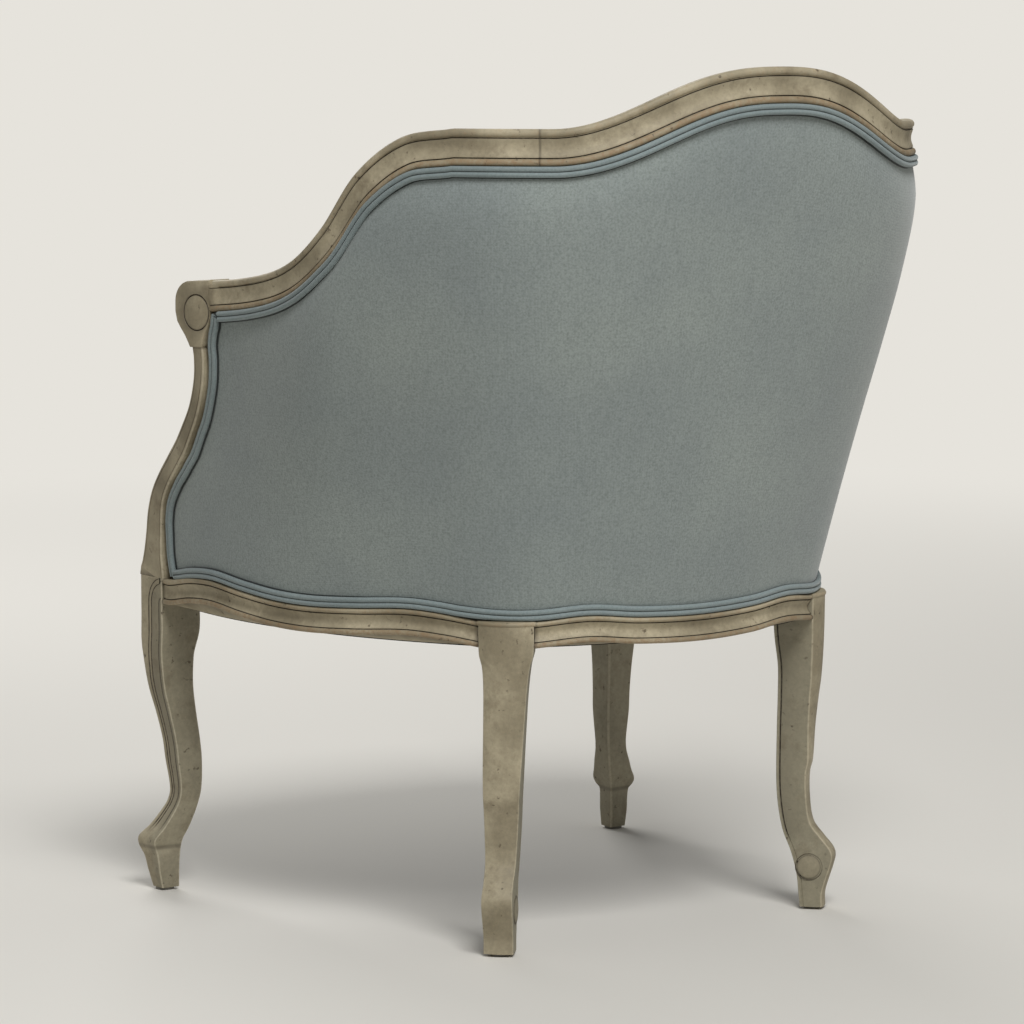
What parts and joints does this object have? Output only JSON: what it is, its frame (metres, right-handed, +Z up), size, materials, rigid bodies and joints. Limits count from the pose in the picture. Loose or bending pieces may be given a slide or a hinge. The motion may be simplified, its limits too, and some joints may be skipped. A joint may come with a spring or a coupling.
{
  "type": "bergere armchair",
  "caption": "Upholstered bergere armchair: painted wrap-around show-wood frame, cabriole legs, double welts and a loose piped seat cushion that lifts off.",
  "frame": {"origin": "on the floor under the middle of the chair's outline", "axes": "+Z up, -Y the way the sitter faces, +X the sitter's left"},
  "size_m": [0.7384, 0.7362, 0.911],
  "materials": {
    "painted_wood": "antiqued greige paint",
    "beech": "raw",
    "screw_steel": "plain",
    "jute": "woven",
    "black_cloth": "matte",
    "glide": "matte",
    "cloth": "pale blue grey velvet"
  },
  "bodies": {
    "chair": {"crest_rail": "painted_wood", "arm_rail_left": "painted_wood", "arm_rail_right": "painted_wood", "arm_support_left": "painted_wood", "arm_support_right": "painted_wood", "front_leg_left": "painted_wood", "front_leg_right": "painted_wood", "rear_leg_left": "painted_wood", "rear_leg_right": "painted_wood", "seat_rail_front": "painted_wood", "seat_rail_left": "painted_wood", "seat_rail_right": "painted_wood", "seat_rail_rear": "painted_wood", "back_stile_left": "beech", "back_stile_right": "beech", "back_tacking_rail": "beech", "arm_tacking_rail_left": "beech", "arm_tacking_rail_right": "beech", "corner_block_front_left": "beech", "corner_block_front_right": "beech", "corner_block_rear_left": "beech", "corner_block_rear_right": "beech", "corner_screws": "screw_steel", "frame_dowels": "beech", "seat_webbing": "jute", "back_webbing": "jute", "seat_deck": "cloth", "back_pad": "cloth", "arm_pad_left": "cloth", "arm_pad_right": "cloth", "outside_cover": "cloth", "outside_lining": "jute", "rail_welt_outer": "cloth", "rail_welt_inner": "cloth", "arm_welt_left": "cloth", "arm_welt_right": "cloth", "seat_welt": "cloth", "front_welt": "cloth", "dust_cover": "black_cloth", "foot_glide_front_left": "glide", "foot_glide_front_right": "glide", "foot_glide_rear_left": "glide", "foot_glide_rear_right": "glide"},
    "cushion": {"seat_cushion": "cloth", "cushion_piping": "cloth"}
  },
  "joints": [
    {"name": "cushion_lift", "type": "slide", "parent": "chair", "child": "cushion", "axis": [0, 0, 1], "range_m": [0, 0.3]}
  ]
}
